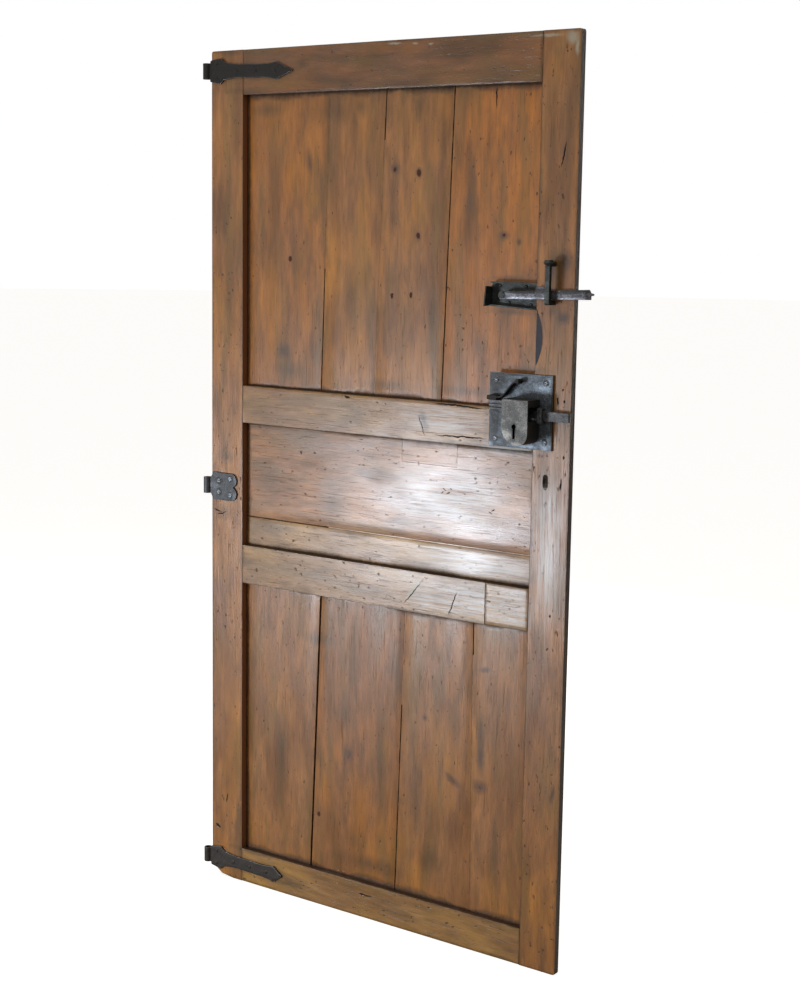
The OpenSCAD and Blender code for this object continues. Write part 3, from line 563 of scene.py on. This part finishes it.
def merged_copy(node, name):
    """A copy of a CAD node's mesh with its loose triangles joined into flat faces."""
    piece = bpy.data.objects.new(name, frame["nodes"][node].data.copy())
    bpy.context.scene.collection.objects.link(piece)
    piece.data.materials.clear()
    select_only(piece)
    bpy.ops.mesh.customdata_custom_splitnormals_clear()
    bpy.ops.object.mode_set(mode="EDIT")
    bpy.ops.mesh.select_all(action="SELECT")
    bpy.ops.mesh.remove_doubles(threshold=0.01 * MM)
    bpy.ops.mesh.dissolve_limited(angle_limit=math.radians(0.5))
    bpy.ops.object.mode_set(mode="OBJECT")
    return piece


# %% Bevel helper
PATCH_LOW, PATCH_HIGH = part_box("panel_patch")


def in_patch(point):
    """Whether a point is on the tight seam of the patch, which keeps its sharp corners."""
    slack = 2 * MM
    return (PATCH_LOW.x - slack < point.x < PATCH_HIGH.x + slack
            and PATCH_LOW.z - slack < point.z < PATCH_HIGH.z + slack)


def soften_arrises(piece, width, shortest, round_x=None):
    """Bevels the long outer corners; with round_x, all but the front one past it a third as wide."""
    shape = bmesh.new()
    shape.from_mesh(piece.data)
    weight = shape.edges.layers.float.new("bevel_weight_edge")
    chosen = 0
    for edge in shape.edges:
        if edge.is_convex and len(edge.link_faces) == 2 and edge.calc_length() > shortest * MM:
            middle = (edge.verts[0].co + edge.verts[1].co) / 2
            if edge.calc_face_angle() > math.radians(50) and not in_patch(middle):
                heavy = round_x is not None and middle.x > round_x and middle.y < LEAF_FRONT + MM
                edge[weight] = 1.0 if heavy or round_x is None else 0.33
                chosen += 1
    shape.to_mesh(piece.data)
    shape.free()
    select_only(piece)
    bpy.ops.object.modifier_add(type="BEVEL")
    bevel = piece.modifiers[-1]
    bevel.limit_method = "WEIGHT"
    bevel.width = width * MM
    bevel.segments = 2
    # the new faces take the piece's second material
    bevel.material = 1
    bpy.ops.object.modifier_apply(modifier=bevel.name)
    return chosen


# %% Slice helper
def slice_across(piece, axis, step, margin):
    """Cuts the whole piece with parallel planes, a step apart, away from its ends."""
    reach = [vertex.co[axis] for vertex in piece.data.vertices]
    low, high = min(reach) + margin * MM, max(reach) - margin * MM
    if high <= low:
        return
    count = max(1, round((high - low) / (step * MM)))
    select_only(piece)
    bpy.ops.object.mode_set(mode="EDIT")
    for i in range(count + 1):
        centre, normal = [0.0] * 3, [0.0] * 3
        centre[axis] = low + (high - low) * i / count
        normal[axis] = 1.0
        bpy.ops.mesh.select_all(action="SELECT")
        bpy.ops.mesh.bisect(plane_co=centre, plane_no=normal)
    bpy.ops.object.mode_set(mode="OBJECT")


# %% Weather helper
def weather(piece, depth, size, stretch=(1, 1, 1)):
    """Sinks the surface by up to a depth, in patches of a size, longer along the stretch."""
    ruler = bpy.data.objects.new("weather_ruler", None)
    bpy.context.scene.collection.objects.link(ruler)
    ruler.scale = stretch
    texture = bpy.data.textures.new("weather", "CLOUDS")
    texture.noise_scale = size * MM
    texture.noise_depth = 2
    bpy.context.view_layer.update()
    select_only(piece)
    bpy.ops.object.modifier_add(type="DISPLACE")
    sink = piece.modifiers[-1]
    sink.texture = texture
    sink.texture_coords = "OBJECT"
    sink.texture_coords_object = ruler
    sink.mid_level = 1.0
    sink.strength = depth * MM
    bpy.ops.object.modifier_apply(modifier=sink.name)
    bpy.data.objects.remove(ruler)
    bpy.data.textures.remove(texture)


# %% Finish helper
def finish_piece(piece, body, slot, *nodes):
    """Shades the piece and puts it on its body, in place of the CAD nodes that it finishes."""
    select_only(piece)
    bpy.ops.object.shade_smooth_by_angle(angle=math.radians(25))
    if nodes:
        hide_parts(*nodes)
    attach(piece, body)


# %% [markdown]
# ## The woodwork
#
# One table says how each piece is cut: the way its grain runs, its three tones and how far its
# slices stay from its edges. The panel boards have slanted joints, so their slices keep well
# inside, where they can't cross a slant. Boards that came from one log share its pattern.

# %% Tones of the wood: dark, middle and light
WARM = ("#704824", "#8F5F31", "#9A6527")
DARK = ("#523519", "#6E4728", "#7B4C20")
PALE = ("#6F4D29", "#8C673A", "#997236")
ORANGE = ("#6F4720", "#8A5728", "#9A611F")
GOLD = ("#794B1E", "#995E24", "#AB6719")

# %% Table of the woodwork
# node, log it was cut from, slot, grain, tone, margin across the grain, depth of the face
WOODWORK = [
    ("hinge_stile", 1, "frame_pine", "Z", WARM, 8, 0),
    ("lock_stile", 2, "frame_pine", "Z", WARM, 8, 0),
    ("top_rail", 3, "frame_pine", "X", DARK, 8, 0),
    ("upper_lock_rail", 4, "frame_pine", "X", PALE, 8, 0),
    ("lower_lock_rail", 5, "frame_pine", "X", PALE, 8, 0),
    ("lock_rail_splice", 6, "frame_pine", "X", PALE, 8, 0),
    ("bottom_rail", 7, "frame_pine", "X", PALE, 8, 0),
    ("upper_board_1", 8, "panel_pine", "Z", ORANGE, 45, PANEL_DEPTH),
    ("upper_board_2", 8, "panel_pine", "Z", WARM, 45, PANEL_DEPTH),
    ("upper_board_3", 8, "panel_pine", "Z", WARM, 45, PANEL_DEPTH),
    ("upper_board_4", 9, "panel_pine", "Z", GOLD, 45, PANEL_DEPTH),
    ("middle_board_high", 10, "panel_pine", "X", WARM, 20, PANEL_DEPTH),
    ("middle_board_low", 11, "panel_pine", "X", PALE, 20, PANEL_DEPTH),
    ("panel_patch", 10, "panel_pine", "X", WARM, 8, PANEL_DEPTH),
    ("lower_board_1", 12, "panel_pine", "Z", WARM, 45, PANEL_DEPTH),
    ("lower_board_2", 13, "panel_pine", "Z", ORANGE, 45, PANEL_DEPTH),
    ("lower_board_3", 13, "panel_pine", "Z", WARM, 45, PANEL_DEPTH),
    ("lower_board_4", 13, "panel_pine", "Z", WARM, 45, PANEL_DEPTH),
]
print(len(WOODWORK), "pieces of wood")

# %% Rubbed corners
# corners where hands and sleeves have worn the wax off: old dark stain with paler bare pine
# between, both without a coat and so duller than the faces
rubbed_arris, arris_tree = empty_material("rubbed_pine_arris")
place = add_node(arris_tree, "TexCoord").outputs["Object"]
# worn lengths about 22 mm long
wear = add_node(arris_tree, "TexNoise", {"Vector": place, "Scale": 45.0,
                                         "Detail": 4.0}).outputs["Fac"]
arris_colour, _ = lay_over(arris_tree, linear("#35230F"), "#7E5C36", wear, 0.40, 0.62, 0.0, 1.0)
arris_shader = add_node(arris_tree, "BsdfPrincipled", {"Base Color": arris_colour,
                                                       "Roughness": 0.5, "IOR": 1.44})
add_node(arris_tree, "OutputMaterial", {"Surface": arris_shader.outputs[0]})

# %% Make the woodwork
# all in millimetres: bevels, the slices along and across the grain, and how the plane left it
ARRIS_WIDTH, LATCH_ARRIS_WIDTH, SHORTEST_ARRIS = 1.0, 3.0, 2.5
SLICE_ALONG, SLICE_ACROSS, END_MARGIN = 30, 18, 8
PLANED_DEPTH, PLANED_SIZE = 0.7, 45

woods = {}
for node, log, slot, along, tone, margin, depth in WOODWORK:
    growth = random.Random(log)
    shift = [round(growth.uniform(-9, 9), 3) for _ in range(3)]
    woods[node] = waxed_pine(node, along, tone, shift, depth)
    piece = merged_copy(node, node + "_worn")
    piece.data.materials.append(woods[node])
    piece.data.materials.append(rubbed_arris)
    arrises = 0
    if node == "lock_stile":
        # the corner that the hand takes to open the door is the roundest
        latch_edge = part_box(node)[1].x - MM
        arrises = soften_arrises(piece, LATCH_ARRIS_WIDTH, SHORTEST_ARRIS, latch_edge)
    elif node != "panel_patch":
        arrises = soften_arrises(piece, ARRIS_WIDTH, SHORTEST_ARRIS)
    long_axis, cross_axis = (2, 0) if along == "Z" else (0, 2)
    slice_across(piece, long_axis, SLICE_ALONG, END_MARGIN)
    slice_across(piece, cross_axis, SLICE_ACROSS, margin)
    weather(piece, PLANED_DEPTH, PLANED_SIZE, (1, 1, 5) if along == "Z" else (5, 1, 1))
    finish_piece(piece, "leaf", slot, node)
    print(f"{node}: {arrises} arrises, {len(piece.data.polygons)} faces")

# %% [markdown]
# ## Wax in the joints
#
# The boards have moved over the years, and some of their joints are filled with old wax and
# dirt, level with the wood, so that only a faint line shows. Each fill is a slim strip that
# follows the slant of its joint. It has the wood of the board beside it.

# %% Joint fills
# in millimetres: the strip's width, its thickness, and how deep its middle lies in the leaf
FILL_WIDTH, FILL_THICKNESS = 3.2, 1.6
FILL_DEPTH = PANEL_DEPTH + 1.2
MIDDLE_JOINT = round((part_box("middle_board_high")[0].z - LEAF_CORNER.z) / MM, 1)
# board, x and z at one end, x and z at the other end
FILLS = [
    ("upper_board_1", 314.0, 1430, 324.8, 1802),
    ("upper_board_2", 452.1, 1166, 471.4, 1700),
    ("lower_board_2", 537.8, 500, 543.8, 712),
    ("lower_board_3", 725.8, 81, 721.0, 640),
    ("middle_board_low", 330.0, MIDDLE_JOINT, 861.0, MIDDLE_JOINT),
]
for board, start_x, start_z, end_x, end_z in FILLS:
    bpy.ops.object.select_all(action="DESELECT")
    bpy.ops.mesh.primitive_cube_add(size=1.0)
    fill = bpy.context.object
    fill.name = board + "_wax"
    bpy.ops.object.mode_set(mode="EDIT")
    bpy.ops.mesh.subdivide(number_cuts=9)
    bpy.ops.object.mode_set(mode="OBJECT")
    run = Vector((end_x - start_x, end_z - start_z))
    across = Vector((run.y, -run.x)).normalized() * FILL_WIDTH
    for vertex in fill.data.vertices:
        at = Vector((start_x, start_z)) + run * (vertex.co.z + 0.5) + across * vertex.co.x
        vertex.co = on_leaf(at.x, at.y, FILL_DEPTH + vertex.co.y * FILL_THICKNESS)
    fill.data.materials.append(woods[board])
    weather(fill, 0.5, PLANED_SIZE, (1, 1, 5))
    finish_piece(fill, "leaf", "panel_pine")
    print(fill.name, "length", round(run.length), "mm")

# %% [markdown]
# ## Iron
#
# Forged iron is blackened by scale and oil. Where it is handled or rubs, the scale is gone and
# the metal shows grey and bright. The scale is an oxide, so it isn't a mirror, and the worn
# places are metal. One noise for hammer marks and one for pitting give both looks.

# %% Iron material
# the black of soot, used for painted shade as well
SOOT_AND_SHADE_HEX = "#0E0D0D"


def forged_iron(name, scale_hex, bare_hex, bare_from, bare_to, gloss, depth=0, wear_and_glints_at=(),
                soot_and_shade_at=(), shaded_sides=False):
    """Iron with scale in its low places; ellipses add wear with painted highlights, and soot with
    painted shade.
    """
    material, tree = empty_material(name)
    place = add_node(tree, "TexCoord").outputs["Object"]
    # hammer marks about 15 mm across and pits about 2.5 mm
    hammer = add_node(tree, "TexNoise", {"Vector": place, "Scale": 60.0, "Detail": 5.0,
                                         "Roughness": 0.6}).outputs["Fac"]
    pits = add_node(tree, "TexNoise", {"Vector": place, "Scale": 380.0, "Detail": 4.0,
                                       "Roughness": 0.7}).outputs["Fac"]
    bare = add_node(tree, "Mix", {"Factor_Float": 0.5, "A_Float": hammer,
                                  "B_Float": pits}).outputs[0]
    # wear and painted highlights: rubbed places and glints turn to bare metal in these ellipses
    if wear_and_glints_at:
        wear_and_glints = ellipse_mask(tree, place, wear_and_glints_at, depth)
        bare = add_node(tree, "Math", {0: wear_and_glints, 1: 0.22, 2: bare},
                        operation="MULTIPLY_ADD").outputs[0]
    colour, worn = lay_over(tree, linear(scale_hex), bare_hex, bare, bare_from, bare_to, 0.0, 1.0)
    fleck = add_node(tree, "MapRange", {"Value": pits, "From Min": 0.35, "From Max": 0.7,
                                        "To Min": 0.75, "To Max": 1.25}).outputs[0]
    colour = add_node(tree, "VectorMath", {0: colour, 1: fleck}, operation="MULTIPLY").outputs[0]
    # soot and painted shade: these ellipses darken, such as the shadow rings round screws
    if soot_and_shade_at:
        soot_and_shade = ellipse_mask(tree, place, soot_and_shade_at, depth)
        colour, _ = lay_over(tree, colour, SOOT_AND_SHADE_HEX, soot_and_shade, 0.0, 0.45, 0.0, 0.85)
    # painted shade: the narrow sides are darkened
    if shaded_sides:
        colour, _ = lay_over(tree, colour, SOOT_AND_SHADE_HEX, face_on(tree), 0.35, 0.8, 0.75, 0.0)
    # scale is an oxide and only the worn places are metal
    metal = add_node(tree, "MapRange", {"Value": worn, "To Min": 0.2, "To Max": 0.9}).outputs[0]
    rough = add_node(tree, "MapRange", {
        "Value": pits, "From Min": 0.3, "From Max": 0.7,
        "To Min": gloss - 0.08, "To Max": gloss + 0.14}).outputs[0]
    height = add_node(tree, "Math", {0: hammer, 1: 3.0, 2: pits},
                      operation="MULTIPLY_ADD").outputs[0]
    bump = add_node(tree, "Bump", {"Height": height, "Strength": 0.5,
                                   "Distance": 0.8 * MM}).outputs[0]
    shader = add_node(tree, "BsdfPrincipled", {"Base Color": colour, "Metallic": metal,
                                               "Roughness": rough, "Normal": bump})
    add_node(tree, "OutputMaterial", {"Surface": shader.outputs[0]})
    return material


# %% Irons of the hinges
# each iron: its scale, its bare metal, the value where bare metal starts and where it is full,
# its roughness, and how deep its face lies under the front of the leaf, in millimetres

# wrought iron straight from the forge: thick scale and soot, nearly black and dull
black_iron = forged_iron("black_forged_iron", "#0F0A06", "#28231D", 0.52, 0.74, 0.66)
# the same iron near the ground, where damp has browned its scale
strap_iron = forged_iron("browned_forged_iron", "#201A15", "#46403B", 0.47, 0.68, 0.50)
# wrought iron filed flat: greyer than forged iron, and bright along its lobes, which is wear and a
# painted highlight; the dark rings round its screws are painted shadow
hinge_iron = forged_iron(
    "filed_hinge_iron", "#292B2C", "#55565A", 0.44, 0.68, 0.44, -4,
    wear_and_glints_at=[(72, 948, 8, 15, 0), (72, 911, 8, 16, 0), (10, 930, 18, 14, 0)],
    soot_and_shade_at=[(25, 943, 10, 11, 0), (25, 917, 10, 11, 0), (59, 949, 9, 10, 0), (59, 912, 9, 10, 0),
              (45, 963, 34, 4, 0), (45, 897, 34, 4, 0), (76, 931, 6, 4, 0)],
)
print("hinge irons", [iron.name for iron in (black_iron, strap_iron, hinge_iron)])

# %% Irons of the latch and the lock
# wrought iron that was oiled for years: the oil has dried to a green-black skin with a soft gloss;
# the bright flecks on the tray's lower rim are painted highlights, and its dark left end and the
# strip under the bar are painted shade
green_iron = forged_iron(
    "old_oiled_iron", "#141A18", "#565D59", 0.49, 0.66, 0.42, 8,
    wear_and_glints_at=[(832, 1363, 14, 3, 0), (812, 1364, 8, 3, 0), (790, 1366, 6, 3, 0)],
    soot_and_shade_at=[(766, 1390, 12, 34, 0), (820, 1372, 40, 8, -2)],
)
# hammered sheet iron: blue-grey scale, worn to grey at its corners and round the case, which is
# wear and painted highlight; the dark rings round its screws are painted shadow
plate_iron = forged_iron(
    "hammered_plate_iron", "#2C333A", "#6E7780", 0.46, 0.70, 0.42, -4,
    wear_and_glints_at=[(897, 1222, 14, 12, 0), (893, 1095, 18, 26, 0), (764, 1091, 8, 8, 0),
             (850, 1091, 50, 5, 0), (884, 1210, 30, 14, 0)],
    soot_and_shade_at=[(778, 1219, 30, 20, 0), (775, 1160, 16, 80, 0), (909, 1160, 4, 84, 0),
              (893, 1221, 9, 9, 0), (776, 1103, 9, 9, 0), (893, 1103, 9, 9, 0),
              (800, 1233, 60, 3, 0)],
)
# sheet iron that the hand rubs at each turn of the key: pewter grey in front, with a painted
# highlight on its lower left, and black at its sides as painted shade
case_iron = forged_iron(
    "rubbed_shaded_case_iron", "#2E2D2B", "#767470", 0.43, 0.66, 0.42, -48,
    wear_and_glints_at=[(828, 1110, 14, 26, 20), (848, 1098, 26, 8, 0)],
    soot_and_shade_at=[(848, 1130, 8, 18, 0)], shaded_sides=True,
)
# drawn bar that slides in its guide, so it is smoother and keeps little scale
bolt_iron = forged_iron("sliding_bolt_iron", "#1F2022", "#616163", 0.47, 0.66, 0.38)
# the latch bar: bright along its lower half, where it is rubbed in the staple and where a painted
# reflection lies; its upper half and its left end are darkened as painted shade
bright_steel = forged_iron(
    "rubbed_steel_painted_light", "#303034", "#75757C", 0.42, 0.66, 0.36, -10,
    wear_and_glints_at=[(836, 1384, 66, 6, -2), (960, 1386, 60, 6, -2), (990, 1396, 8, 10, 0)],
    soot_and_shade_at=[(785, 1398, 12, 12, 0), (850, 1400, 80, 7, -2), (950, 1402, 50, 6, -2)],
)
# turned steel, worn by the driver and the bolt: the smoothest of the irons, with small glints
screw_steel = forged_iron("worn_screw_steel", "#26282A", "#7C7F84", 0.40, 0.62, 0.34)
# the arrises of every iron, where the scale has gone first and the metal shines through
rubbed_edge = forged_iron("rubbed_iron_edge", "#262524", "#6C6A67", 0.44, 0.66, 0.34)
print("latch and lock irons", [iron.name for iron in (green_iron, plate_iron, case_iron, bolt_iron,
                                                      bright_steel, screw_steel, rubbed_edge)])

# %% Table of the ironwork
# node, body, iron, and in millimetres how far apart its slices are (0 for none), how deep the
# hammer has dented it and how wide its arrises are
IRONWORK = [
    ("top_hinge_strap", "leaf", black_iron, 7, 0.5, 0.9),
    ("top_hinge_nails", "leaf", black_iron, 0, 0.0, 0.3),
    ("middle_hinge_plate", "leaf", hinge_iron, 6, 0.3, 0.7),
    ("middle_hinge_screws", "leaf", screw_steel, 0, 0.0, 0.2),
    ("bottom_hinge_strap", "leaf", strap_iron, 7, 0.5, 0.9),
    ("bottom_hinge_nails", "leaf", strap_iron, 0, 0.0, 0.3),
    ("latch_tray", "leaf", green_iron, 6, 0.5, 0.6),
    ("latch_tray_nails", "leaf", green_iron, 0, 0.0, 0.3),
    ("latch_rivet", "leaf", green_iron, 0, 0.0, 0.3),
    ("latch_bar", "latch", bright_steel, 6, 0.3, 1.0),
    ("latch_staple", "leaf", green_iron, 5, 0.6, 1.2),
    ("lock_plate", "leaf", plate_iron, 8, 0.5, 0.7),
    ("lock_screws", "leaf", screw_steel, 0, 0.0, 0.2),
    ("lock_case", "leaf", case_iron, 7, 0.4, 1.0),
    ("lock_bolt", "bolt", bolt_iron, 7, 0.2, 0.8),
    ("bolt_guide", "leaf", screw_steel, 4, 0.2, 0.6),
    ("lock_spring", "leaf", black_iron, 0, 0.0, 0.2),
    ("spring_rivet", "leaf", black_iron, 0, 0.0, 0.3),
    ("key_ward", "leaf", black_iron, 0, 0.0, 0.2),
]
print(len(IRONWORK), "pieces of iron")

# %% Make the ironwork
# the slices' distance from the ends of a piece, and the size of a dent
IRON_MARGIN, DENT_SIZE = 2, 14
slot_of = {row["node"]: row["material_slot"] for row in frame["record"]["subparts"]}
for node, body, material, step, dent, bevel in IRONWORK:
    piece = merged_copy(node, node + "_forged")
    piece.data.materials.append(material)
    piece.data.materials.append(rubbed_edge)
    arrises = soften_arrises(piece, bevel, 1.0)
    if step:
        slice_across(piece, 0, step, IRON_MARGIN)
        slice_across(piece, 2, step, IRON_MARGIN)
        weather(piece, dent, DENT_SIZE)
    finish_piece(piece, body, slot_of[node], node)
    print(f"{node}: {arrises} arrises, {len(piece.data.polygons)} faces")

# %% [markdown]
# ## The dark fill in the notch
#
# The lock stile has a worn hollow between the latch and the lock. A dark blue-grey fill sits in it
# level with the wood, partly painted shade for the hollow and partly its dirt. The fill is a
# slice of a cylinder: a round of the notch's own radius is cut straight at the stile's edge,
# which keeps the arc exact. It is matt, so it has no edge that shines.

# %% Notch fill
# the round that the hollow is part of, and the stile's inner edge, which cuts it straight
NOTCH_X, NOTCH_Z, NOTCH_RADIUS = 765.9, 1308.0, 113.1
NOTCH_EDGE = 863.2
# the fill's thickness, how deep its middle lies, and its clearance from the wood
NOTCH_FILL_THICKNESS, NOTCH_FILL_DEPTH, NOTCH_FILL_CLEARANCE = 14.0, 8.4, 0.3
bpy.ops.object.select_all(action="DESELECT")
bpy.ops.mesh.primitive_cylinder_add(
    vertices=240, radius=(NOTCH_RADIUS - NOTCH_FILL_CLEARANCE) * MM, depth=NOTCH_FILL_THICKNESS * MM,
    location=on_leaf(NOTCH_X, NOTCH_Z, NOTCH_FILL_DEPTH), rotation=(math.radians(90), 0.0, 0.0),
)
notch_fill = bpy.context.object
notch_fill.name = "notch_shade_filler"
bpy.ops.object.transform_apply(location=True, rotation=True, scale=True)
bpy.ops.object.mode_set(mode="EDIT")
bpy.ops.mesh.select_all(action="SELECT")
bpy.ops.mesh.bisect(plane_co=on_leaf(NOTCH_EDGE, NOTCH_Z), plane_no=(1.0, 0.0, 0.0),
                    use_fill=True, clear_inner=True)
bpy.ops.object.mode_set(mode="OBJECT")
# painted shade with dirt: a dark, matt blue-grey for the hollow, with hardly a glint of metal
notch_shade_fill = forged_iron("notch_shade_fill", "#25272C", "#3C3E47", 0.40, 0.66, 0.60)
# once for its faces and once for its bevels
for _ in range(2):
    notch_fill.data.materials.append(notch_shade_fill)
soften_arrises(notch_fill, 0.6, 0.5)
slice_across(notch_fill, 0, 5, 2)
slice_across(notch_fill, 2, 8, 4)
weather(notch_fill, 0.8, 30)
finish_piece(notch_fill, "leaf", "black_iron")
print("notch fill", len(notch_fill.data.polygons), "faces")
